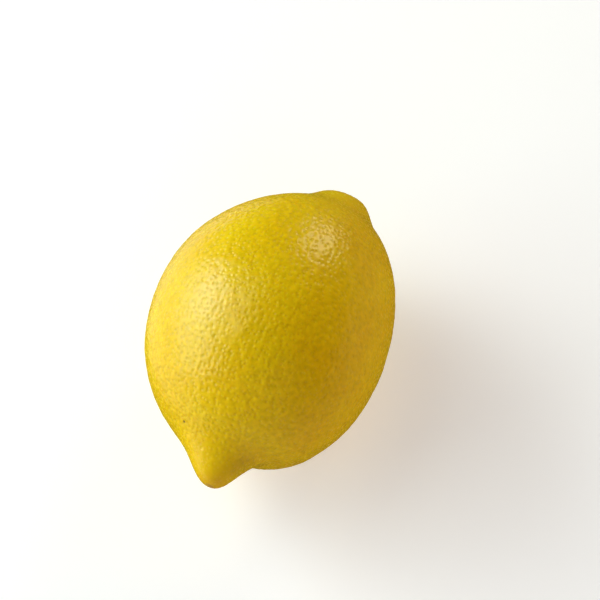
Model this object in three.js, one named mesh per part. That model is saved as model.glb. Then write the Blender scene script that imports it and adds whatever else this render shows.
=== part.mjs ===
// A whole lemon that lies on its side, in millimetres, with +Z up and the ground at z = 0.
// +X runs along the fruit, from the blossom end with its nipple to the stem end with its button.
// The origin is on the ground, under the middle of the lemon's box.

import * as THREE from "three";

// Fruit: the body is an egg of two half ellipsoids, and the nipple and the neck rise from its ends.
// Lengths run along X and start at the thickest ring. Angles around go from +Y over +Z.
const GIRTH_RADIUS = 30.5;
const BLOSSOM_TIP = 43.9;
const STEM_HALF = 38.7;
const LEANING = 3; // the higher, the nearer to its tip an end starts to lean over

// The nipple runs out gently on one side and stands up steeply over a furrow on the other.
// A fullness under 1 makes the shoulder beside it rounder.
const NIPPLE = { shiftY: -2.1, shiftZ: -0.9, steepAt: 3.14 };
const GENTLE_SIDE = { rise: 6.9, radius: 8.0, steepness: 2.3, fullness: 0.985 };
const STEEP_SIDE = { rise: 7.8, radius: 6.0, steepness: 2.8, fullness: 0.99 };
const FURROW = { depth: 2.1, radius: 12.0, width: 4.6, at: 3.55 };
const TIP_SPOT = 1; // radius of the spot at the very tip that the furrow leaves as it is

// The neck stands out further on its -Y side, and has a sharper shoulder there.
const NECK = { rise: 4.6, shiftY: -3.6, shiftZ: 0.6 };
const NECK_LEFT = { radius: 8.1, steepness: 3.2 };
const NECK_RIGHT = { radius: 9.8, steepness: 4.7 };

// The dished seat at the end of the neck that the button sits in.
const SEAT = { depth: 3.0, radius: 5.3, steepness: 7 };

// Slow swells that keep the body from being perfectly round. Each is a wave around and along.
const SWELLS = [
  { around: 2, along: 1, height: 0.42, turn: 0.5, slide: 0.5 },
  { around: 3, along: 1, height: 0.3, turn: 2.1, slide: 2.1 },
  { around: 5, along: 1, height: 0.16, turn: 0.8, slide: 0.8 },
  { around: 4, along: 2, height: 0.16, turn: 1.7, slide: 1.7 },
  { around: 3, along: 3, height: 0.12, turn: 4.0, slide: 4.0 },
  { around: 1, along: 2, height: 0.27, turn: 0.2, slide: 0.1 },
  { around: 1, along: 3, height: 0.11, turn: 3.2, slide: -0.1 },
  { around: 3, along: 4, height: 0.1, turn: 3.0, slide: -0.2 },
  { around: 2, along: 5, height: 0.13, turn: 3.1, slide: -0.2 },
];
const SWELL_FADE = 1.5; // how quickly the swells die out towards the two ends

// Where the lemon rests, its belly is pressed flat, with a soft edge to the flat spot.
const PRESSED = 0.55;
const PRESS_EDGE = 0.25;

// Button: what is left of the calyx and of the stalk.
const BUTTON_RADIUS = 3.95; // to the middle of the lobed edge
const BUTTON_THICK = 1.3;
const BUTTON_EDGE = 0.9; // the rounding of the edge, seen from above
const BUTTON_GAP = 0.3; // between the button and its seat
const LOBES = { count: 5, reach: 0.24, uneven: 0.1, lift: 0.1 };
const LOBE_START = 2.4; // radius inside which the button stays round
const STUB_RADIUS = 1.75;
const STUB_TOP = 2.7;
const STUB_ROUNDING = 0.4;
const STUB_DIMPLE = 0.35;

// Facets
const CURVE_STEPS = 5;
const FRUIT_AROUND = 72;
const FRUIT_ALONG = 60;
const END_CROWDING = 0.42; // how much closer together the rings are at the two ends
const BUTTON_AROUND = 60;

const FRUIT_COLOUR = 0xe3bd10;
const FRUIT_ROUGHNESS = 0.38;
const BUTTON_COLOUR = 0xa98c4e;
const BUTTON_ROUGHNESS = 0.85;

const bell = (distance, width) => Math.exp(-((distance / width) ** 2));
const plateau = (radius, edge, steepness) => Math.exp(-((radius / edge) ** steepness));

// 1 along a ring round the tip, fading on both sides of it, and 0 at the tip itself.
const collar = (distance, ring) => bell(distance - ring.radius, ring.width) * (1 - bell(distance, TIP_SPOT));

// 1 on the side that an angle around points to, 0 on the far side.
const facing = (around, side) => (1 + Math.cos(around - side)) / 2;

// The numbers part way between one set of numbers and another.
function blend(from, to, share) {
  const mixed = {};
  for (const key of Object.keys(from)) mixed[key] = THREE.MathUtils.lerp(from[key], to[key], share);
  return mixed;
}

// Distance along X of the skin from the thickest ring, and its radius, before furrow and swells.
// The angle goes from 0 at the stem end to pi at the blossom end.
function meridianPoint(angle, around) {
  const along = Math.cos(angle);
  const across = Math.abs(Math.sin(angle));
  if (along > 0) {
    const side = blend(NECK_RIGHT, NECK_LEFT, facing(around, 0));
    const radius = GIRTH_RADIUS * across;
    const neck = NECK.rise * plateau(radius, side.radius, side.steepness);
    const seat = SEAT.depth * plateau(radius, SEAT.radius, SEAT.steepness);
    return new THREE.Vector2(STEM_HALF * along + neck - seat, radius);
  }
  const side = blend(GENTLE_SIDE, STEEP_SIDE, facing(around, NIPPLE.steepAt));
  const radius = GIRTH_RADIUS * across ** side.fullness;
  const nipple = side.rise * plateau(radius, side.radius, side.steepness);
  return new THREE.Vector2((BLOSSOM_TIP - side.rise) * along - nipple, radius);
}

// The same line as a curve, for spacing the rings along it by length.
class Meridian extends THREE.Curve {
  getPoint(t, target = new THREE.Vector2()) {
    return target.copy(meridianPoint(Math.PI * t, 0));
  }
}

// The middle of the ring at an angle, off the axis where the two ends lean over.
function ringCentre(angle) {
  const along = Math.cos(angle);
  const end = along > 0 ? NECK : NIPPLE;
  const lean = Math.abs(along) ** LEANING;
  return new THREE.Vector2(end.shiftY * lean, end.shiftZ * lean);
}

function swellHeight(angle, around) {
  let height = 0;
  for (const s of SWELLS) {
    height += s.height * Math.cos(s.around * around + s.turn) * Math.sin(s.along * angle + s.slide);
  }
  return height * Math.sin(angle) ** SWELL_FADE;
}

// A height above the ground, pressed flat to 0 where it would go below, with a soft edge.
function pressFlat(z) {
  if (z >= PRESS_EDGE) return z;
  if (z <= -PRESS_EDGE) return 0;
  return (z + PRESS_EDGE) ** 2 / (4 * PRESS_EDGE);
}

function skinPoint(angle, around) {
  const line = meridianPoint(angle, around);
  const centre = ringCentre(angle);
  const radius = line.y + swellHeight(angle, around);
  let x = line.x;
  if (Math.cos(angle) < 0) x += FURROW.depth * facing(around, FURROW.at) ** 2 * collar(line.y, FURROW);
  const y = centre.x + radius * Math.cos(around);
  const z = centre.y + radius * Math.sin(around) + GIRTH_RADIUS - PRESSED;
  return new THREE.Vector3(x, y, pressFlat(z));
}

// A globe whose every point is moved onto the skin. Its poles become the two ends.
function fruitGeometry() {
  const meridian = new Meridian();
  const globe = new THREE.SphereGeometry(1, FRUIT_AROUND, FRUIT_ALONG);
  const { position, uv } = globe.attributes;
  for (let i = 0; i < position.count; i++) {
    const share = 1 - uv.getY(i);
    const crowded = share - (END_CROWDING * Math.sin(2 * Math.PI * share)) / (2 * Math.PI);
    const angle = Math.PI * meridian.getUtoTmapping(crowded);
    const around = 2 * Math.PI * uv.getX(i) - Math.PI / 2;
    position.setXYZ(i, ...skinPoint(angle, around));
  }
  globe.computeVertexNormals();
  return globe;
}

// The button, turned on its own axis and then scalloped into lobes. It stands along +Y here.
function buttonGeometry() {
  const inner = BUTTON_RADIUS - BUTTON_EDGE;
  const section = new THREE.Path()
    .moveTo(0, 0)
    .lineTo(inner, 0)
    .quadraticCurveTo(BUTTON_RADIUS, 0, BUTTON_RADIUS, BUTTON_THICK / 2)
    .quadraticCurveTo(BUTTON_RADIUS, BUTTON_THICK, inner, BUTTON_THICK)
    .quadraticCurveTo(STUB_RADIUS, BUTTON_THICK, STUB_RADIUS, STUB_TOP - STUB_ROUNDING)
    .quadraticCurveTo(STUB_RADIUS, STUB_TOP, STUB_RADIUS - STUB_ROUNDING, STUB_TOP)
    .lineTo(0, STUB_TOP - STUB_DIMPLE);
  const turned = new THREE.LatheGeometry(section.getPoints(CURVE_STEPS), BUTTON_AROUND);
  const { position } = turned.attributes;
  for (let i = 0; i < position.count; i++) {
    const [x, y, z] = [position.getX(i), position.getY(i), position.getZ(i)];
    const radius = Math.hypot(x, z);
    if (radius < LOBE_START) continue;
    const share = (radius - LOBE_START) / (BUTTON_RADIUS - LOBE_START);
    const around = Math.atan2(z, x);
    const wave = Math.cos(LOBES.count * around);
    const reach = LOBES.reach * wave + LOBES.uneven * Math.sin(2 * around);
    const grown = (radius + share * reach) / radius;
    position.setXYZ(i, x * grown, y + LOBES.lift * share * (1 + wave), z * grown);
  }
  turned.computeVertexNormals();
  return turned;
}

function skinMaterial(color, roughness) {
  return new THREE.MeshStandardMaterial({ color, roughness, metalness: 0 });
}

const fruit = new THREE.Mesh(fruitGeometry(), skinMaterial(FRUIT_COLOUR, FRUIT_ROUGHNESS));
fruit.name = "fruit";

const button = new THREE.Mesh(buttonGeometry(), skinMaterial(BUTTON_COLOUR, BUTTON_ROUGHNESS));
button.name = "button";
button.rotation.z = -Math.PI / 2;
button.position.copy(skinPoint(0, 0)).add(new THREE.Vector3(BUTTON_GAP, 0, 0));

const lemon = new THREE.Group();
lemon.add(fruit, button);

// The origin goes under the middle of the box.
const middle = new THREE.Box3().setFromObject(lemon, true).getCenter(new THREE.Vector3());
lemon.position.set(-middle.x, -middle.y, 0);

export default lemon;
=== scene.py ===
"""A whole lemon lying on its side on a pale floor: its pitted peel, its stem button and the light.

Lengths are in metres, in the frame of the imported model. +X runs from the nipple at the blossom end
to the button at the stem end, +Z is up, and the floor is at z = 0.
"""

import math
import random

import bpy
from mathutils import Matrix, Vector


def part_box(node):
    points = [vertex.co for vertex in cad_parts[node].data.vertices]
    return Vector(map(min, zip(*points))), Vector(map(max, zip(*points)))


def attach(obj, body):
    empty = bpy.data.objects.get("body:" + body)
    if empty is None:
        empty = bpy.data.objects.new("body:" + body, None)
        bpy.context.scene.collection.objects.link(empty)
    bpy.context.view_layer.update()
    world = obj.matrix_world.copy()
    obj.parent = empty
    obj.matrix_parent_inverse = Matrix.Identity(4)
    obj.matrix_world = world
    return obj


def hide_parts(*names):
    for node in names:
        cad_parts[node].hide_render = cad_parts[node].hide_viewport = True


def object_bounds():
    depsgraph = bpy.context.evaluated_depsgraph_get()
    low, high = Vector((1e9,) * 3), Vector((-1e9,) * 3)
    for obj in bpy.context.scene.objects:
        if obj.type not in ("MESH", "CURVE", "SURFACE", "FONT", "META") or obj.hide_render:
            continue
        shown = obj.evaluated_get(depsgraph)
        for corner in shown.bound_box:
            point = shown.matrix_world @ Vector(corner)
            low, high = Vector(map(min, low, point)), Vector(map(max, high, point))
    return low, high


bl_info = {
    "name": "Lemon",
    "version": (1, 0, 0),
    "blender": (4, 5, 0),
    "location": "3D View > Sidebar > Lemon",
    "description": "Models a lemon's peel and stem button, and lights them on a pale floor",
    "category": "Add Mesh",
}

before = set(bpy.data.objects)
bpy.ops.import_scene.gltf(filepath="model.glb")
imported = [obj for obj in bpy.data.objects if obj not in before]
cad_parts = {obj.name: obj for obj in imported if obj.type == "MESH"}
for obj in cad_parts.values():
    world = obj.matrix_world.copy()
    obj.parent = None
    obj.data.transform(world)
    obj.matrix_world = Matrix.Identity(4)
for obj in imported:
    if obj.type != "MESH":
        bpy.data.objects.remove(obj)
CAD_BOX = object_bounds()
FRUIT_LOW, FRUIT_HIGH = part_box("fruit")
FRUIT_MIDDLE = (FRUIT_LOW + FRUIT_HIGH) / 2
BUTTON_LOW, BUTTON_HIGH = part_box("button")
BUTTON_MIDDLE = (BUTTON_LOW + BUTTON_HIGH) / 2
FRUIT_CORNERS = [corner.co.copy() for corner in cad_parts["fruit"].data.vertices]
NIPPLE_TIP = min(FRUIT_CORNERS, key=lambda co: co.x)


# Shader and geometry nodes

OUTWARD = "outward"  # the attribute that keeps the direction out of a surface, from before its relief
ABOVE_FLOOR = (-1.0, -1.0, 0.0)  # the lowest x, y and z that a corner may have
SPOT_CORE = 0.35  # share of a spot's radius up to which it is whole


class Signal:
    """What varies over a surface: one output socket of a node. The operators are for numbers."""

    def __init__(self, sketch, socket):
        self.sketch = sketch
        self.socket = socket

    def __add__(self, other):
        return self.sketch.math("ADD", self, other)

    __radd__ = __add__

    def __mul__(self, other):
        return self.sketch.math("MULTIPLY", self, other)

    __rmul__ = __mul__

    def __sub__(self, other):
        return self.sketch.math("SUBTRACT", self, other)

    def __rsub__(self, other):
        return self.sketch.math("SUBTRACT", other, self)


class Sketch:
    """Adds nodes to one node tree."""

    def __init__(self, tree):
        self.tree = tree
        tree.nodes.clear()

    def node(self, kind, settings=None, inputs=None, output=0):
        """Adds a node, sets it up, and gives back one of its outputs."""
        node = self.tree.nodes.new(kind)
        for name, value in (settings or {}).items():
            setattr(node, name, value)
        for name, value in (inputs or {}).items():
            self.feed(node.inputs[name], value)
        return Signal(self, node.outputs[output]) if len(node.outputs) else node

    def feed(self, socket, value):
        if isinstance(value, Signal):
            self.tree.links.new(value.socket, socket)
        else:
            socket.default_value = value

    def math(self, operation, *values):
        return self.node("ShaderNodeMath", {"operation": operation}, dict(enumerate(values)))

    def vector(self, operation, *values, output="Vector"):
        inputs = dict(enumerate(values))
        return self.node("ShaderNodeVectorMath", {"operation": operation}, inputs, output)

    def scale(self, vector, factor):
        return self.node("ShaderNodeVectorMath", {"operation": "SCALE"}, {0: vector, "Scale": factor})

    def distance(self, place, point):
        return self.vector("DISTANCE", place, tuple(point), output="Value")

    def dot(self, first, second):
        return self.vector("DOT_PRODUCT", first, second, output="Value")

    def length(self, vector):
        return self.vector("LENGTH", vector, output="Value")

    def along_x(self, place):
        return self.node("ShaderNodeSeparateXYZ", inputs={0: place}, output="X")

    def fade(self, value, low, high):
        """0 up to low, 1 from high on, and smooth between them."""
        inputs = {"Value": value, "From Min": low, "From Max": high}
        return self.node("ShaderNodeMapRange", {"interpolation_type": "SMOOTHSTEP"}, inputs)

    def mix(self, share, from_colour, to_colour):
        """Part way from one colour to another, where each is a tuple or varies too.

        Colours are the Mix node's inputs 6 and 7, and its output 2.
        """
        settings = {"data_type": "RGBA", "clamp_factor": True}
        inputs = {0: share}
        for socket, colour in ((6, from_colour), (7, to_colour)):
            inputs[socket] = (*colour, 1) if isinstance(colour, tuple) else colour
        return self.node("ShaderNodeMix", settings, inputs, output=2)

    def noise(self, place, size, detail=0.0, roughness=0.5):
        """Soft noise around 0.5 whose lumps are about this size."""
        inputs = {"Vector": place, "Scale": 1 / size, "Detail": detail, "Roughness": roughness}
        return self.node("ShaderNodeTexNoise", {"noise_dimensions": "3D"}, inputs, output=0)

    def cells(self, place, size, randomness=1.0, output="Distance"):
        """The nearest of many scattered points: its distance in their spacings, or its position."""
        inputs = {"Vector": place, "Scale": 1 / size, "Randomness": randomness}
        settings = {"voronoi_dimensions": "3D", "feature": "F1"}
        return self.node("ShaderNodeTexVoronoi", settings, inputs, output)

    def from_axis(self, place, middle):
        """Distance from the line through a point that runs along X."""
        flat = self.vector("MULTIPLY", place, (0.0, 1.0, 1.0))
        return self.distance(flat, (0.0, middle[1], middle[2]))

    def rays(self, place, middle, count, detail=1.0):
        """Noise in about this many streaks that run out from a point, seen along X."""
        away = self.vector("SUBTRACT", place, tuple(middle))
        around = self.vector("NORMALIZE", self.vector("MULTIPLY", away, (0.0, 1.0, 1.0)))
        return self.noise(around, 2 * math.pi / count, detail)

    def spot(self, place, point, radius):
        """1 in the middle of a round spot, 0 from its edge on."""
        return 1 - self.fade(self.distance(place, point), SPOT_CORE * radius, radius)


def shade(colour, factor):
    """A colour made darker or lighter."""
    return tuple(min(1.0, factor * part) for part in colour)


def relief_tree(name, height_at):
    """Geometry nodes that push a surface out by a varying height, and keep it above the floor.

    They first keep the direction out of the surface, as the attribute OUTWARD.
    """
    tree = bpy.data.node_groups.new(name, "GeometryNodeTree")
    tree.interface.new_socket("Geometry", in_out="INPUT", socket_type="NodeSocketGeometry")
    tree.interface.new_socket("Geometry", in_out="OUTPUT", socket_type="NodeSocketGeometry")
    sketch = Sketch(tree)
    surface = sketch.node("NodeGroupInput")
    place = sketch.node("GeometryNodeInputPosition")
    out = sketch.node("GeometryNodeInputNormal")
    inputs = {"Geometry": surface, "Name": OUTWARD, "Value": out}
    named = sketch.node("GeometryNodeStoreNamedAttribute", {"data_type": "FLOAT_VECTOR"}, inputs)
    push = sketch.scale(out, height_at(sketch, place, out))
    pushed = sketch.node("GeometryNodeSetPosition", inputs={"Geometry": named, "Offset": push})
    above = sketch.vector("MAXIMUM", place, ABOVE_FLOOR)
    kept = sketch.node("GeometryNodeSetPosition", inputs={"Geometry": pushed, "Position": above})
    sketch.node("NodeGroupOutput", inputs={0: kept})
    return tree


# Selecting and finishing


def select_only(piece):
    bpy.ops.object.select_all(action="DESELECT")
    piece.select_set(True)
    bpy.context.view_layer.objects.active = piece


def apply_modifier(piece, kind, **settings):
    """Adds a modifier to a piece, sets it up and applies it."""
    select_only(piece)
    modifier = piece.modifiers.new(kind, kind)
    for name, value in settings.items():
        setattr(modifier, name, value)
    bpy.ops.object.modifier_apply(modifier=modifier.name)


def new_material(name):
    material = bpy.data.materials.new(name)
    material.use_nodes = True
    return material, Sketch(material.node_tree)


def remove_old(name):
    """Takes away an earlier copy of a piece, so that an operator can be run again."""
    old = bpy.data.objects.get(name)
    if old:
        bpy.data.objects.remove(old)


# Peel

# A pair of numbers below is a fade, which starts at the first one and ends at the second.

# The skin's relief is faint at the nipple's tip and by the button, and full further away from them.
NIPPLE_SMOOTH = (0.003, 0.015)
NECK_SMOOTH = (0.014, 0.028)
END_RELIEF = 0.15  # share of the lumps, dimples and dark pits that the ends keep
END_BUMP = 0.12  # share of the ripples and pits in the bump that the ends keep

# Pits, in pit spacings. Each is made by a point near the skin, one of many scattered through space.
PIT_SCATTER = 0.75  # 0 puts the points in rows
POINT_REACH = (0.38, 0.6)  # distance of the point from the skin
PIT_EDGE = (0.04, 0.35)  # distance from the middle of a pit, along the skin
DIMPLE_EDGE = (0.1, 0.6)
EDGE_SWAY = 0.15  # how far the edges stray from round
DIMPLE_BUMP = 0.5  # share of the dimples' depth that the bump adds to the one in the mesh

# Sizes of what the noise makes, in metres.
SWAY_SIZE = 0.004
LUMP_SIZE = 0.0022
SWELL_SIZE = 0.006
MOTTLE_SIZE = 0.0012
PATCH_SIZE = 0.018
CORK_SIZE = 0.0011
RIPPLE_SIZE = 0.0011
GRAIN_SIZE = 0.00035

SWELL_SHARE = 1.2  # height of the slow swells against that of the lumps
GRAIN_HEIGHT = 0.000015
CREASES = 26
CREASED_NECK = (0.005, 0.011)  # distance from the middle of the button, as for the two below
CORKY_SEAT = (0.0048, 0.0066)
GREEN_NECK = (0.004, 0.015)
CORKY_TIP = 0.0016  # radius around the nipple's tip, as is the next
AMBER_TIP = 0.006

# Tones of the skin, as factors on the red, green and blue of the yellow.
DEEP_TONE = (0.97, 0.93, 1.0)
PALE_TONE = (1.0, 1.04, 1.5)
PATCH_EDGE = (0.3, 0.7)
BODY_MOTTLE = 0.5  # strength of the mottle on the body, and at the ends
END_MOTTLE = 0.15
AMBER = (0.95, 0.78)  # factors on red and green
AMBER_BLUE = 0.02

# How much of its own colour each thing brings.
# The pits' darker colour is partly the oil glands' own deeper yellow and partly painted shade in the
# pits.
PIT_SHARE = 0.13
GREEN_SHARE = 0.08
CORK_SHARE = 0.75
AMBER_SHARE = 0.35

# Marks on the skin, and the painted shade in the furrow beside the nipple, by their place on the fruit,
# with their radius.
DARK_SPECK = (-0.0330, 0.0087, 0.0375), 0.0005
FAINT_SPOT = (-0.0321, -0.0131, 0.0352), 0.0008
# Painted shade: a darker patch in the furrow beside the nipple, where the body's bulge shades it.
FURROW_SHADE = (-0.0367, -0.0086, 0.0317), 0.005
FAINT_SHARE = 0.35  # how dark they are against the dark speck
# Strength of the painted shade in the furrow.
FURROW_SHADE_SHARE = 0.2
SPECK_SHARE = 0.25
SPECK_SPACING = 0.012
SPECK_EDGE = (0.016, 0.03)  # in speck spacings
MARK_TONE = 0.4  # darkness of a mark's colour against the scar colour

# How light passes through the peel, and how strongly its wax shines.
LIGHT_INTO_PEEL = (1.0, 0.55, 0.08)
PEEL_DEPTH = 0.0025
PEEL_TRANSLUCENCY = 0.25
WAX_IOR = 1.43
WAX_SHINE = 0.46


class PeelProperties(bpy.types.PropertyGroup):
    pit_spacing: bpy.props.FloatProperty(
        name="Pit spacing",
        description="Distance between the oil glands' pits",
        default=0.00135,
        min=0.0005,
        max=0.004,
        precision=5,
        unit="LENGTH",
    )
    pit_depth: bpy.props.FloatProperty(
        name="Pit depth",
        description="Depth of the small pit over each oil gland",
        default=0.00004,
        min=0.0,
        max=0.0005,
        precision=5,
        unit="LENGTH",
    )
    dimple_depth: bpy.props.FloatProperty(
        name="Dimple depth",
        description="How deep the peel dips around each pit",
        default=0.00005,
        min=0.0,
        max=0.0005,
        precision=5,
        unit="LENGTH",
    )
    lump_height: bpy.props.FloatProperty(
        name="Lump height",
        description="Height of the peel's uneven lumps",
        default=0.0002,
        min=0.0,
        max=0.001,
        precision=5,
        unit="LENGTH",
    )
    ripple_height: bpy.props.FloatProperty(
        name="Ripple height",
        description="Height of the fine ripples between the pits",
        default=0.00004,
        min=0.0,
        max=0.001,
        precision=5,
        unit="LENGTH",
    )
    crease_depth: bpy.props.FloatProperty(
        name="Crease depth",
        description="Depth of the creases that run out from the stem button over the neck",
        default=0.0003,
        min=0.0,
        max=0.002,
        precision=5,
        unit="LENGTH",
    )
    roughness: bpy.props.FloatProperty(
        name="Roughness",
        description="How dull the waxy skin is",
        default=0.24,
        min=0.0,
        max=1.0,
        subtype="FACTOR",
    )
    yellow: bpy.props.FloatVectorProperty(
        name="Yellow",
        description="Main colour of the ripe peel",
        default=(0.74, 0.495, 0.0015),
        min=0.0,
        max=1.0,
        subtype="COLOR",
    )
    # Colour of the pits: partly the oil glands' own deeper yellow, partly painted shade in the pits.
    pit_tone_and_shade: bpy.props.FloatVectorProperty(
        name="Pits",
        description="Colour at the bottom of a pit",
        default=(0.45, 0.31, 0.001),
        min=0.0,
        max=1.0,
        subtype="COLOR",
    )
    green_tint: bpy.props.FloatVectorProperty(
        name="Green tint",
        description="Colour of the skin that ripened least, by the stem",
        default=(0.47, 0.4, 0.008),
        min=0.0,
        max=1.0,
        subtype="COLOR",
    )
    scar: bpy.props.FloatVectorProperty(
        name="Scar",
        description="Colour of corky marks at the two ends",
        default=(0.33, 0.17, 0.03),
        min=0.0,
        max=1.0,
        subtype="COLOR",
    )


def smooth_ends(sketch, place):
    """1 over the body, 0 at the nipple's tip and by the button."""
    nipple = sketch.fade(sketch.distance(place, NIPPLE_TIP), *NIPPLE_SMOOTH)
    neck = sketch.fade(sketch.distance(place, BUTTON_MIDDLE), *NECK_SMOOTH)
    return nipple * neck


def pit_pattern(sketch, place, out, peel):
    """The pits and the wider dimples around them: two signals, 1 in the middle of each and 0 between."""
    pit = sketch.cells(place, peel.pit_spacing, PIT_SCATTER, output="Position")
    gap = sketch.vector("SUBTRACT", pit, place)
    off = sketch.dot(gap, out)
    along = sketch.length(sketch.vector("SUBTRACT", gap, sketch.scale(out, off)))
    sway = sketch.noise(place, SWAY_SIZE, detail=1.0)
    away = (1 / peel.pit_spacing) * along + EDGE_SWAY * (sway - 0.5)
    reach = [share * peel.pit_spacing for share in POINT_REACH]
    near = 1 - sketch.fade(sketch.math("ABSOLUTE", off), *reach)
    return near * (1 - sketch.fade(away, *PIT_EDGE)), near * (1 - sketch.fade(away, *DIMPLE_EDGE))


def skin_relief(sketch, place, out, peel):
    """Height of the skin in metres: lumps, slow swells, dimples, and creases by the stem."""
    lumps = sketch.noise(place, LUMP_SIZE, detail=1.0) - 0.5
    swells = sketch.noise(place, SWELL_SIZE, detail=1.0) - 0.5
    dimples = pit_pattern(sketch, place, out, peel)[1]
    skin = peel.lump_height * (lumps + SWELL_SHARE * swells) - peel.dimple_depth * dimples
    left = END_RELIEF + (1 - END_RELIEF) * smooth_ends(sketch, place)
    neck = 1 - sketch.fade(sketch.distance(place, BUTTON_MIDDLE), *CREASED_NECK)
    creases = sketch.rays(place, BUTTON_MIDDLE, CREASES) - 0.5
    return skin * left + peel.crease_depth * creases * neck


def ripe_yellow(sketch, place, mottle, ends, peel):
    """Deeper and paler patches of yellow, with a fine mottle that is weaker at the ends."""
    deep = tuple(part * factor for part, factor in zip(peel.yellow, DEEP_TONE))
    pale = tuple(part * factor for part, factor in zip(peel.yellow, PALE_TONE))
    patches = sketch.noise(place, PATCH_SIZE, detail=2.0)
    skin = sketch.mix(sketch.fade(patches, *PATCH_EDGE), deep, pale)
    strength = END_MOTTLE + (BODY_MOTTLE - END_MOTTLE) * ends
    return sketch.scale(skin, 1 + strength * (mottle - 0.5))


def end_colours(sketch, place, skin, cork, peel):
    """The skin with a green tint on the neck, cork in its marks, and amber on the nipple."""
    neck = 1 - sketch.fade(sketch.distance(place, BUTTON_MIDDLE), *GREEN_NECK)
    skin = sketch.mix(GREEN_SHARE * neck, skin, tuple(peel.green_tint))
    skin = sketch.mix(CORK_SHARE * cork, skin, tuple(peel.scar))
    amber = (peel.yellow[0] * AMBER[0], peel.yellow[1] * AMBER[1], AMBER_BLUE)
    return sketch.mix(AMBER_SHARE * sketch.spot(place, NIPPLE_TIP, AMBER_TIP), skin, amber)


def corky_marks(sketch, place):
    """1 in the corky marks in the button's seat and on the nipple's tip, 0 elsewhere."""
    cork = sketch.noise(place, CORK_SIZE, detail=2.0)
    seat = 1 - sketch.fade(sketch.distance(place, BUTTON_MIDDLE), *CORKY_SEAT)
    tip = sketch.spot(place, NIPPLE_TIP, CORKY_TIP)
    return seat * sketch.fade(cork, 0.35, 0.6) + tip * sketch.fade(cork, 0.2, 0.5)


def marks_and_furrow_shade(sketch, place):
    """The dark speck, the fainter spot, painted shade in the furrow beside the nipple, and a few
    scattered specks.
    """
    scattered = 1 - sketch.fade(sketch.cells(place, SPECK_SPACING), *SPECK_EDGE)
    marks = sketch.spot(place, *DARK_SPECK) + FAINT_SHARE * sketch.spot(place, *FAINT_SPOT)
    return marks + SPECK_SHARE * scattered + FURROW_SHADE_SHARE * sketch.spot(place, *FURROW_SHADE)


def peel_material(peel):
    material, sketch = new_material("peel")
    place = sketch.node("ShaderNodeTexCoord", output="Object")
    out = sketch.node("ShaderNodeAttribute", {"attribute_name": OUTWARD}, output="Vector")
    pits, dimples = pit_pattern(sketch, place, out, peel)
    ends = smooth_ends(sketch, place)
    mottle = sketch.noise(place, MOTTLE_SIZE, detail=1.5)
    cork = corky_marks(sketch, place)

    skin = ripe_yellow(sketch, place, mottle, ends, peel)
    left = END_RELIEF + (1 - END_RELIEF) * ends
    # Darker pits: partly the glands' own colour, partly painted shade in the pits.
    skin = sketch.mix(PIT_SHARE * pits * left, skin, tuple(peel.pit_tone_and_shade))
    skin = end_colours(sketch, place, skin, cork, peel)
    # Specks and spots on the skin, and painted shade in the furrow beside the nipple.
    skin = sketch.mix(marks_and_furrow_shade(sketch, place), skin, shade(tuple(peel.scar), MARK_TONE))

    grain = sketch.noise(place, GRAIN_SIZE, detail=1.0)
    ripples = sketch.noise(place, RIPPLE_SIZE, detail=1.0)
    rise = peel.ripple_height * ripples - peel.pit_depth * pits
    rise = rise - DIMPLE_BUMP * peel.dimple_depth * dimples
    rise = GRAIN_HEIGHT * grain + rise * (END_BUMP + (1 - END_BUMP) * ends)
    normal = sketch.node("ShaderNodeBump", inputs={"Strength": 1.0, "Distance": 1.0, "Height": rise})
    roughness = peel.roughness + 0.1 * (mottle - 0.5) + 0.12 * pits + 0.3 * cork
    shader = sketch.node(
        "ShaderNodeBsdfPrincipled",
        inputs={
            "Base Color": skin,
            "Roughness": roughness,
            "Normal": normal,
            "IOR": WAX_IOR,
            "Specular IOR Level": WAX_SHINE,
            "Subsurface Weight": PEEL_TRANSLUCENCY,
            "Subsurface Radius": LIGHT_INTO_PEEL,
            "Subsurface Scale": PEEL_DEPTH,
        },
    )
    sketch.node("ShaderNodeOutputMaterial", inputs={"Surface": shader})
    return material


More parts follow.
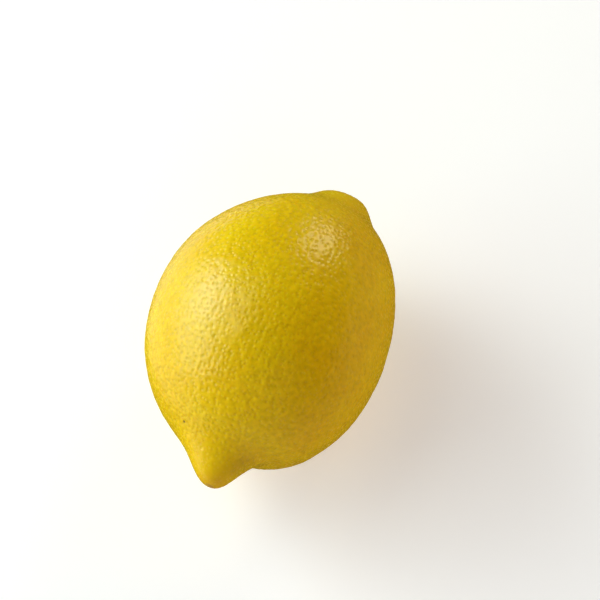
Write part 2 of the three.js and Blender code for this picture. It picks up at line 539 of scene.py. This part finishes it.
class LEMON_OT_peel(bpy.types.Operator):
    """Model the whole fruit's skin, with its pits and lumps"""

    bl_idname = "lemon.peel"
    bl_label = "Lemon Peel"
    bl_options = {"REGISTER", "UNDO"}

    # The skin starts as a cube with this many rows of faces a side, rounded and laid on the fruit. Each
    # further round of smoothing, with so many steps, comes after a doubling of the rows.
    CUBE_ROWS = 16
    FIRST_STEPS = 30
    FURTHER_STEPS = (20, 12, 6)
    MERGE_DISTANCE = 0.00001
    GUIDE_LEVELS = 2

    def execute(self, context):
        peel = context.scene.lemon_peel
        remove_old("lemon_peel")
        guide = self.smooth_guide()

        bpy.ops.object.select_all(action="DESELECT")
        bpy.ops.mesh.primitive_cube_add(size=1.0, location=(0, 0, 0))
        piece = context.active_object
        piece.name = piece.data.name = "lemon_peel"
        bpy.ops.object.mode_set(mode="EDIT")
        bpy.ops.mesh.select_all(action="SELECT")
        bpy.ops.mesh.subdivide(number_cuts=self.CUBE_ROWS - 1)
        bpy.ops.object.mode_set(mode="OBJECT")
        apply_modifier(piece, "CAST", cast_type="SPHERE", factor=1.0, size=0.5, use_radius_as_size=False)
        bpy.ops.object.mode_set(mode="EDIT")
        bpy.ops.mesh.select_all(action="SELECT")
        bpy.ops.transform.resize(value=tuple(FRUIT_HIGH - FRUIT_LOW))
        bpy.ops.transform.translate(value=tuple(FRUIT_MIDDLE))
        bpy.ops.object.mode_set(mode="OBJECT")

        self.settle(piece, guide, self.FIRST_STEPS)
        for steps in self.FURTHER_STEPS:
            apply_modifier(piece, "SUBSURF", levels=1, render_levels=1)
            self.settle(piece, guide, steps)
        bpy.data.objects.remove(guide)

        relief = relief_tree("peel_relief", lambda *surface: skin_relief(*surface, peel))
        apply_modifier(piece, "NODES", node_group=relief)
        select_only(piece)
        bpy.ops.object.shade_smooth()
        piece.data.materials.clear()
        piece.data.materials.append(peel_material(peel))
        rows = self.CUBE_ROWS * 2 ** len(self.FURTHER_STEPS)
        if len(piece.data.polygons) != 6 * rows**2:
            raise RuntimeError(f"the peel has {len(piece.data.polygons)} faces")
        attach(piece, "root")
        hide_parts("fruit")
        return {"FINISHED"}

    def smooth_guide(self):
        """A merged and smoothed copy of the fruit's solid, to lay the skin on."""
        guide = bpy.data.objects.new("fruit_guide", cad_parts["fruit"].data.copy())
        bpy.context.scene.collection.objects.link(guide)
        select_only(guide)
        bpy.ops.object.mode_set(mode="EDIT")
        bpy.ops.mesh.select_all(action="SELECT")
        bpy.ops.mesh.remove_doubles(threshold=self.MERGE_DISTANCE)
        bpy.ops.mesh.tris_convert_to_quads()
        bpy.ops.object.mode_set(mode="OBJECT")
        apply_modifier(guide, "SUBSURF", levels=self.GUIDE_LEVELS, render_levels=self.GUIDE_LEVELS)
        return guide

    def settle(self, piece, guide, steps):
        """Lays the faces on the guide, evens them out in so many steps and lays them on it again."""
        nearest = {"wrap_method": "NEAREST_SURFACEPOINT", "wrap_mode": "ON_SURFACE"}
        apply_modifier(piece, "SHRINKWRAP", target=guide, **nearest)
        apply_modifier(piece, "SMOOTH", factor=0.5, iterations=steps)
        apply_modifier(piece, "SHRINKWRAP", target=guide, **nearest)


# Stem button

WRINKLES = 44
FIBRES = 90
CALYX_LUMP_SIZE = 0.0009
CALYX_LUMP_SHARE = 0.7
BLOTCH_SIZE = 0.0014
FIBRE_HEIGHT = 0.00006
WOOD_GRAIN_SIZE = 0.00018
WOOD_GRAIN_HEIGHT = 0.00003
WOOD_ROUGHNESS = 0.72

# Where a colour fades in or out: by the distance from the button's axis, or by the height along it.
GREEN_RADIUS = (0.0016, 0.0036)
# The crevice colour is painted shade, at the rim where the button meets the skin and in the low parts of
# the wrinkles.
RIM_SHADE_HEIGHT = (0.0002, 0.0008)
FACE_HEIGHT = (0.0020, 0.0023)
FACE_RADIUS = (0.0011, 0.0014)
RING_INSIDE = (0.0005, 0.0007)
RING_OUTSIDE = (0.0009, 0.0011)
CRACK_SHADE_DEPTH = (-0.3, -0.12)  # by the wrinkles, whose middle is 0


class ButtonProperties(bpy.types.PropertyGroup):
    sepals: bpy.props.IntProperty(
        name="Sepals",
        description="Number of dry sepals around the stub",
        default=5,
        min=3,
        max=7,
    )
    reach: bpy.props.FloatProperty(
        name="Sepal reach",
        description="Distance from the middle of the button to a sepal's tip",
        default=0.00415,
        min=0.002,
        max=0.008,
        precision=5,
        unit="LENGTH",
    )
    stub_radius: bpy.props.FloatProperty(
        name="Stub radius",
        description="Radius of what is left of the stalk",
        default=0.0016,
        min=0.0005,
        max=0.003,
        precision=5,
        unit="LENGTH",
    )
    wrinkle_depth: bpy.props.FloatProperty(
        name="Wrinkle depth",
        description="Depth of the wrinkles that run out over the dry calyx",
        default=0.0005,
        min=0.0,
        max=0.001,
        precision=5,
        unit="LENGTH",
    )
    wood: bpy.props.FloatVectorProperty(
        name="Wood",
        description="Colour of the dry calyx",
        default=(0.52, 0.36, 0.15),
        min=0.0,
        max=1.0,
        subtype="COLOR",
    )
    # Painted shade in the cracks and at the rim by the skin.
    crevice_shade: bpy.props.FloatVectorProperty(
        name="Crevice",
        description="Colour of the cracks and of the rim by the skin",
        default=(0.075, 0.036, 0.012),
        min=0.0,
        max=1.0,
        subtype="COLOR",
    )
    green: bpy.props.FloatVectorProperty(
        name="Green",
        description="Colour that is left of the fresh calyx around the stub",
        default=(0.3, 0.3, 0.07),
        min=0.0,
        max=1.0,
        subtype="COLOR",
    )


def calyx_wrinkles(sketch, place):
    """Streaks and lumps of the dried calyx, around 0."""
    streaks = sketch.rays(place, BUTTON_MIDDLE, WRINKLES, detail=2.0) - 0.5
    lumps = sketch.noise(place, CALYX_LUMP_SIZE, detail=2.0) - 0.5
    return streaks + CALYX_LUMP_SHARE * lumps


def button_material(button):
    material, sketch = new_material("stem_button")
    place = sketch.node("ShaderNodeTexCoord", output="Object")
    rise = sketch.along_x(place) - BUTTON_LOW.x
    radius = sketch.from_axis(place, BUTTON_MIDDLE)
    wrinkles = calyx_wrinkles(sketch, place)
    fibre = sketch.rays(place, BUTTON_MIDDLE, FIBRES, detail=2.0)
    blotches = sketch.noise(place, BLOTCH_SIZE, detail=3.0)

    wood = tuple(button.wood)
    colour = sketch.mix(sketch.fade(blotches, 0.35, 0.65), shade(wood, 0.75), shade(wood, 1.25))
    colour = sketch.mix(0.5 * sketch.fade(fibre, 0.45, 0.7), colour, shade(wood, 0.55))
    greenish = (1 - sketch.fade(radius, *GREEN_RADIUS)) * sketch.fade(blotches, 0.4, 0.6)
    colour = sketch.mix(0.55 * greenish, colour, tuple(button.green))
    # Painted shade: the crevice colour in the low parts of the wrinkles and at the rim where the button
    # meets the skin.
    rim = 1 - sketch.fade(rise, *RIM_SHADE_HEIGHT)
    cracks = 1 - sketch.fade(wrinkles, *CRACK_SHADE_DEPTH)
    colour = sketch.mix(0.85 * rim + 0.8 * cracks, colour, tuple(button.crevice_shade))
    face = sketch.fade(rise, *FACE_HEIGHT) * (1 - sketch.fade(radius, *FACE_RADIUS))
    ring = sketch.fade(radius, *RING_INSIDE) * (1 - sketch.fade(radius, *RING_OUTSIDE))
    colour = sketch.mix(0.6 * face, colour, shade(wood, 1.35))
    colour = sketch.mix(0.5 * face * ring, colour, shade(wood, 0.45))

    grain = sketch.noise(place, WOOD_GRAIN_SIZE, detail=2.0)
    height = FIBRE_HEIGHT * fibre + WOOD_GRAIN_HEIGHT * grain
    normal = sketch.node("ShaderNodeBump", inputs={"Strength": 1.0, "Distance": 1.0, "Height": height})
    inputs = {"Base Color": colour, "Roughness": WOOD_ROUGHNESS + 0.2 * blotches, "Normal": normal}
    shader = sketch.node("ShaderNodeBsdfPrincipled", inputs=inputs)
    sketch.node("ShaderNodeOutputMaterial", inputs={"Surface": shader})
    return material


class LEMON_OT_button(bpy.types.Operator):
    """Model the dry calyx and the stub of the stalk"""

    bl_idname = "lemon.button"
    bl_label = "Lemon Stem Button"
    bl_options = {"REGISTER", "UNDO"}

    # The button is modelled standing along Z on the floor, and then laid in its place.
    DISC_RADIUS = 0.0029
    DISC_HEIGHT = 0.00105
    DISC_ROUNDING = 0.0003
    COLLAR_GAP = 0.00035  # from the side of the stub to the middle of the collar's ring
    COLLAR_RADIUS = 0.00042
    WRINKLE_ROOM = 0.0001  # above the stub
    TOP_BAND = 0.0001  # height of the stub's top that is squeezed
    TOP_SQUEEZE = (0.88, 0.92, 1)
    TOP_RIM = 0.0004  # width of the rim around the stub's sunken face, and the depth of that face
    SEPAL_ROOT = 0.0012
    SEPAL_WIDTH = 0.8  # of its length
    SEPAL_THICK = 0.0008
    SEPAL_HEIGHT = 0.00062
    # From each share of its length on, a sepal is squeezed to a share of its width and lifted.
    SEPAL_TAPER = ((0.55, 0.86, 0.00003), (0.7, 0.8, 0.00005), (0.85, 0.7, 0.00008))
    SEPAL_SWAY = 0.12  # the most that a sepal is turned out of its even place, in radians
    SEPAL_LONG = (0.86, 1.0)  # the least and the most, against the first sepal
    SEPAL_WIDE = (0.8, 1.1)
    VOXEL = 0.00011
    SEED = 11

    def execute(self, context):
        button = context.scene.lemon_button
        remove_old("stem_button")
        self.stub_height = BUTTON_HIGH.x - BUTTON_LOW.x - self.WRINKLE_ROOM
        draw = random.Random(self.SEED)
        sepal = self.add_sepal(button)
        parts = [self.add_disc(), self.add_collar(button), self.add_stub(button), sepal]
        for number in range(1, button.sepals):
            turn = 2 * math.pi * number / button.sepals + draw.uniform(-self.SEPAL_SWAY, self.SEPAL_SWAY)
            long = draw.uniform(*self.SEPAL_LONG)
            wide = draw.uniform(*self.SEPAL_WIDE)
            parts.append(self.copy_sepal(sepal, turn, long, wide))

        bpy.ops.object.select_all(action="DESELECT")
        for part in parts:
            part.select_set(True)
        bpy.context.view_layer.objects.active = parts[0]
        bpy.ops.object.join()
        piece = context.active_object
        piece.name = piece.data.name = "stem_button"
        apply_modifier(piece, "REMESH", mode="VOXEL", voxel_size=self.VOXEL)
        apply_modifier(piece, "SMOOTH", factor=0.5, iterations=3)

        select_only(piece)
        piece.rotation_euler = (0, math.pi / 2, 0)
        piece.location = (BUTTON_LOW.x, BUTTON_MIDDLE.y, BUTTON_MIDDLE.z)
        bpy.ops.object.transform_apply(location=True, rotation=True, scale=True)

        def wrinkle_height(sketch, place, out):
            return button.wrinkle_depth * calyx_wrinkles(sketch, place)

        apply_modifier(piece, "NODES", node_group=relief_tree("calyx_relief", wrinkle_height))
        select_only(piece)
        bpy.ops.object.shade_smooth()
        piece.data.materials.clear()
        piece.data.materials.append(button_material(button))
        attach(piece, "root")
        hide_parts("button")
        return {"FINISHED"}

    def start_edit(self):
        bpy.ops.object.mode_set(mode="EDIT")
        bpy.ops.mesh.select_mode(type="VERT")
        bpy.ops.mesh.select_all(action="SELECT")

    def select_where(self, test):
        """Selects the corners of the active piece that pass a test of their place."""
        bpy.ops.mesh.select_all(action="DESELECT")
        bpy.ops.object.mode_set(mode="OBJECT")
        for corner in bpy.context.active_object.data.vertices:
            corner.select = test(corner.co)
        bpy.ops.object.mode_set(mode="EDIT")

    def add_disc(self):
        bpy.ops.object.select_all(action="DESELECT")
        bpy.ops.mesh.primitive_cylinder_add(
            vertices=48,
            radius=self.DISC_RADIUS,
            depth=self.DISC_HEIGHT,
            location=(0, 0, self.DISC_HEIGHT / 2),
        )
        self.start_edit()
        bpy.ops.mesh.bevel(offset=self.DISC_ROUNDING, segments=3)
        bpy.ops.object.mode_set(mode="OBJECT")
        bpy.ops.object.transform_apply(location=True, rotation=True, scale=True)
        return bpy.context.active_object

    def add_collar(self, button):
        """The swollen ring at the foot of the stub."""
        bpy.ops.object.select_all(action="DESELECT")
        bpy.ops.mesh.primitive_torus_add(
            major_radius=button.stub_radius + self.COLLAR_GAP,
            minor_radius=self.COLLAR_RADIUS,
            major_segments=48,
            minor_segments=12,
            location=(0, 0, self.DISC_HEIGHT),
        )
        bpy.ops.object.transform_apply(location=True, rotation=True, scale=True)
        return bpy.context.active_object

    def add_stub(self, button):
        bpy.ops.object.select_all(action="DESELECT")
        bpy.ops.mesh.primitive_cylinder_add(
            vertices=32,
            radius=button.stub_radius,
            depth=self.stub_height,
            location=(0, 0, self.stub_height / 2),
        )
        bpy.ops.object.transform_apply(location=True, rotation=True, scale=True)
        self.start_edit()
        top = self.stub_height - self.TOP_BAND
        self.select_where(lambda co: co.z > top)
        bpy.ops.transform.resize(value=self.TOP_SQUEEZE, center_override=(0, 0, top))
        bpy.ops.mesh.select_mode(type="FACE")
        bpy.ops.mesh.inset(thickness=self.TOP_RIM)
        bpy.ops.transform.translate(value=(0, 0, -self.TOP_RIM))
        bpy.ops.mesh.select_mode(type="VERT")
        bpy.ops.object.mode_set(mode="OBJECT")
        return bpy.context.active_object

    def add_sepal(self, button):
        """A thick pointed lobe that lies out along X and lifts a little at its tip."""
        bpy.ops.object.select_all(action="DESELECT")
        bpy.ops.mesh.primitive_uv_sphere_add(segments=32, ring_count=16, radius=0.5, location=(0, 0, 0))
        length = button.reach - self.SEPAL_ROOT
        self.start_edit()
        bpy.ops.transform.resize(value=(length, self.SEPAL_WIDTH * length, self.SEPAL_THICK))
        bpy.ops.transform.translate(value=(self.SEPAL_ROOT + length / 2, 0, self.SEPAL_HEIGHT))
        for share, narrow, lift in self.SEPAL_TAPER:
            beyond = self.SEPAL_ROOT + share * length
            self.select_where(lambda co: co.x > beyond)
            bpy.ops.transform.resize(value=(1, narrow, 1), center_override=(0, 0, 0))
            bpy.ops.transform.translate(value=(0, 0, lift))
        bpy.ops.object.mode_set(mode="OBJECT")
        return bpy.context.active_object

    def copy_sepal(self, sepal, turn, long, wide):
        """A turned copy with a mesh of its own, and of another length and width."""
        copy = sepal.copy()
        copy.data = sepal.data.copy()
        bpy.context.scene.collection.objects.link(copy)
        select_only(copy)
        copy.scale = (long, wide, 1)
        bpy.ops.object.transform_apply(location=True, rotation=True, scale=True)
        copy.rotation_euler = (0, 0, turn)
        bpy.ops.object.transform_apply(location=True, rotation=True, scale=True)
        return copy


# Floor, light and camera


class StageProperties(bpy.types.PropertyGroup):
    azimuth: bpy.props.FloatProperty(
        name="Camera azimuth",
        description="Turn of the camera about the lemon, 0 looking along +Y",
        default=math.radians(-67.5),
        subtype="ANGLE",
    )
    elevation: bpy.props.FloatProperty(
        name="Camera elevation",
        description="Height of the camera above the floor, as an angle",
        default=math.radians(66.0),
        subtype="ANGLE",
    )
    distance: bpy.props.FloatProperty(
        name="Camera distance",
        description="Distance from the camera to the middle of the lemon",
        default=0.7,
        min=0.2,
        unit="LENGTH",
    )
    floor_colour: bpy.props.FloatVectorProperty(
        name="Floor",
        description="Colour of the pale floor",
        default=(0.78, 0.79, 0.8),
        min=0.0,
        max=1.0,
        subtype="COLOR",
    )


def direction(azimuth, elevation):
    """Unit vector from the lemon towards an azimuth and elevation, in radians."""
    flat = math.cos(elevation)
    return Vector((math.sin(azimuth) * flat, -math.cos(azimuth) * flat, math.sin(elevation)))


# For each softbox, its azimuth and elevation in degrees, its distance and sides in metres, its power
# in watts and its colour.
SOFTBOXES = {
    "key": (190, 22, 1.0, 1.4, 0.75, 10.9, (0.89, 1.0, 0.98)),
    "key_core": (176, 33, 1.0, 0.5, 0.42, 2.9, (0.93, 1.0, 0.98)),
    "key_top": (180, 58, 1.0, 0.7, 0.5, 2.2, (1.0, 1.0, 0.85)),
    "window": (83, 24, 1.0, 0.33, 0.38, 2.45, (1.0, 0.9, 0.6)),
    "front_fill": (-62, 28, 1.2, 1.2, 1.2, 4.2, (1.0, 0.68, 0.8)),
    "nipple_fill": (240, 30, 1.0, 0.6, 0.6, 0.75, (0.76, 1.0, 0.9)),
    "side_fill": (30, 6, 1.2, 1.4, 0.3, 6.6, (1.0, 0.86, 0.9)),
}
FILLS = ("front_fill", "nipple_fill", "side_fill")  # they stay out of the peel's gloss

# The pale card that lies on the floor, on the key's side of the lemon.
CARD_NEAR = 0.058  # y of its near edge
CARD_FAR = 0.6
CARD_LENGTH = 0.6
CARD_MIDDLE = -0.16  # x of its middle
CARD_HEIGHT = 0.001
CARD_POWER = 0.8

WORLD_LIGHT = 0.02
WORLD_COLOUR = (1.0, 0.9, 0.75)
FLOOR_SIZE = 4.0
FLOOR_GLOW = 0.42
FLOOR_TONE_SIZE = 0.3
FLOOR_TONE = 0.99  # the darkest tone of the floor's colour

# The picture is square. In it, the middle of the lemon is left of the picture's middle and below it.
PICTURE = 600  # pixels a side
PIXELS_PER_METRE = 3930  # at the lemon's distance
LEMON_IN_PICTURE = (267.8, 333.6)  # pixels from the left and from the top
SENSOR_WIDTH = 36.0
VIEW_END = 20.0


class LEMON_OT_stage(bpy.types.Operator):
    """Add the pale floor, the softboxes and the camera"""

    bl_idname = "lemon.stage"
    bl_label = "Lemon Stage"
    bl_options = {"REGISTER", "UNDO"}

    def execute(self, context):
        stage = context.scene.lemon_stage
        self.add_floor(stage)
        middle = (CAD_BOX[0] + CAD_BOX[1]) / 2
        for name, box in SOFTBOXES.items():
            self.add_softbox(name, middle, *box)
        self.add_card()
        self.add_camera(context, stage, middle)

        world = bpy.data.worlds.new("studio")
        world.use_nodes = True
        sketch = Sketch(world.node_tree)
        inputs = {"Color": (*WORLD_COLOUR, 1), "Strength": WORLD_LIGHT}
        light = sketch.node("ShaderNodeBackground", inputs=inputs)
        sketch.node("ShaderNodeOutputWorld", inputs={"Surface": light})
        context.scene.world = world
        context.scene.view_settings.view_transform = "Standard"
        return {"FINISHED"}

    def add_floor(self, stage):
        remove_old("floor")
        bpy.ops.object.select_all(action="DESELECT")
        bpy.ops.mesh.primitive_plane_add(size=FLOOR_SIZE, location=(0, 0, 0))
        floor = bpy.context.active_object
        floor.name = floor.data.name = "floor"
        floor.visible_glossy = False
        material, sketch = new_material("floor")
        place = sketch.node("ShaderNodeTexCoord", output="Object")
        tone = sketch.fade(sketch.noise(place, FLOOR_TONE_SIZE, detail=2.0), 0.2, 0.8)
        pale = tuple(stage.floor_colour)
        colour = sketch.mix(tone, shade(pale, FLOOR_TONE), pale)
        inputs = {"Base Color": colour, "Roughness": 0.6}
        inputs |= {"Emission Color": colour, "Emission Strength": FLOOR_GLOW}
        shader = sketch.node("ShaderNodeBsdfPrincipled", inputs=inputs)
        sketch.node("ShaderNodeOutputMaterial", inputs={"Surface": shader})
        floor.data.materials.append(material)

    def add_softbox(self, name, middle, azimuth, elevation, distance, wide, high, power, colour):
        remove_old(name)
        light = bpy.data.lights.new(name, "AREA")
        light.shape = "RECTANGLE"
        light.size = wide
        light.size_y = high
        light.energy = power
        light.color = colour
        softbox = bpy.data.objects.new(name, light)
        softbox.visible_glossy = name not in FILLS
        bpy.context.scene.collection.objects.link(softbox)
        away = direction(math.radians(azimuth), math.radians(elevation))
        softbox.location = middle + away * distance
        softbox.rotation_euler = away.to_track_quat("Z", "Y").to_euler()

    def add_card(self):
        """A pale card that lies beside the lemon, facing up, and shows only in the peel's gloss."""
        remove_old("card")
        light = bpy.data.lights.new("card", "AREA")
        light.shape = "RECTANGLE"
        light.size = CARD_LENGTH
        light.size_y = CARD_FAR - CARD_NEAR
        light.energy = CARD_POWER
        card = bpy.data.objects.new("card", light)
        card.visible_camera = card.visible_diffuse = False
        bpy.context.scene.collection.objects.link(card)
        card.location = (CARD_MIDDLE, (CARD_NEAR + CARD_FAR) / 2, CARD_HEIGHT)
        card.rotation_euler = (math.pi, 0, 0)

    def add_camera(self, context, stage, middle):
        remove_old("camera")
        camera_data = bpy.data.cameras.new("camera")
        camera = bpy.data.objects.new("camera", camera_data)
        context.scene.collection.objects.link(camera)
        back = direction(stage.azimuth, stage.elevation)
        camera.location = middle + back * stage.distance
        camera.rotation_euler = back.to_track_quat("Z", "Y").to_euler()
        camera_data.sensor_width = SENSOR_WIDTH
        camera_data.lens = PIXELS_PER_METRE * stage.distance / PICTURE * SENSOR_WIDTH
        camera_data.shift_x = 0.5 - LEMON_IN_PICTURE[0] / PICTURE
        camera_data.shift_y = LEMON_IN_PICTURE[1] / PICTURE - 0.5
        camera_data.clip_end = VIEW_END
        context.scene.camera = camera


# Panel and start


class LEMON_PT_panel(bpy.types.Panel):
    """Lists the lemon's pieces and its stage"""

    bl_idname = "LEMON_PT_panel"
    bl_label = "Lemon"
    bl_space_type = "VIEW_3D"
    bl_region_type = "UI"
    bl_category = "Lemon"

    def draw(self, context):
        layout = self.layout
        for operator, group in PANEL_ROWS:
            layout.operator(operator)
            settings = getattr(context.scene, group)
            for name in settings.__annotations__:
                layout.prop(settings, name)


PANEL_ROWS = (
    ("lemon.peel", "lemon_peel"),
    ("lemon.button", "lemon_button"),
    ("lemon.stage", "lemon_stage"),
)
CLASSES = (
    PeelProperties,
    ButtonProperties,
    StageProperties,
    LEMON_OT_peel,
    LEMON_OT_button,
    LEMON_OT_stage,
    LEMON_PT_panel,
)


def register():
    for cls in CLASSES:
        bpy.utils.register_class(cls)
    bpy.types.Scene.lemon_peel = bpy.props.PointerProperty(type=PeelProperties)
    bpy.types.Scene.lemon_button = bpy.props.PointerProperty(type=ButtonProperties)
    bpy.types.Scene.lemon_stage = bpy.props.PointerProperty(type=StageProperties)


def unregister():
    del bpy.types.Scene.lemon_stage
    del bpy.types.Scene.lemon_button
    del bpy.types.Scene.lemon_peel
    for cls in reversed(CLASSES):
        bpy.utils.unregister_class(cls)


def main():
    register()
    bpy.ops.lemon.peel()
    bpy.ops.lemon.button()
    bpy.ops.lemon.stage()


if __name__ == "__main__":
    main()
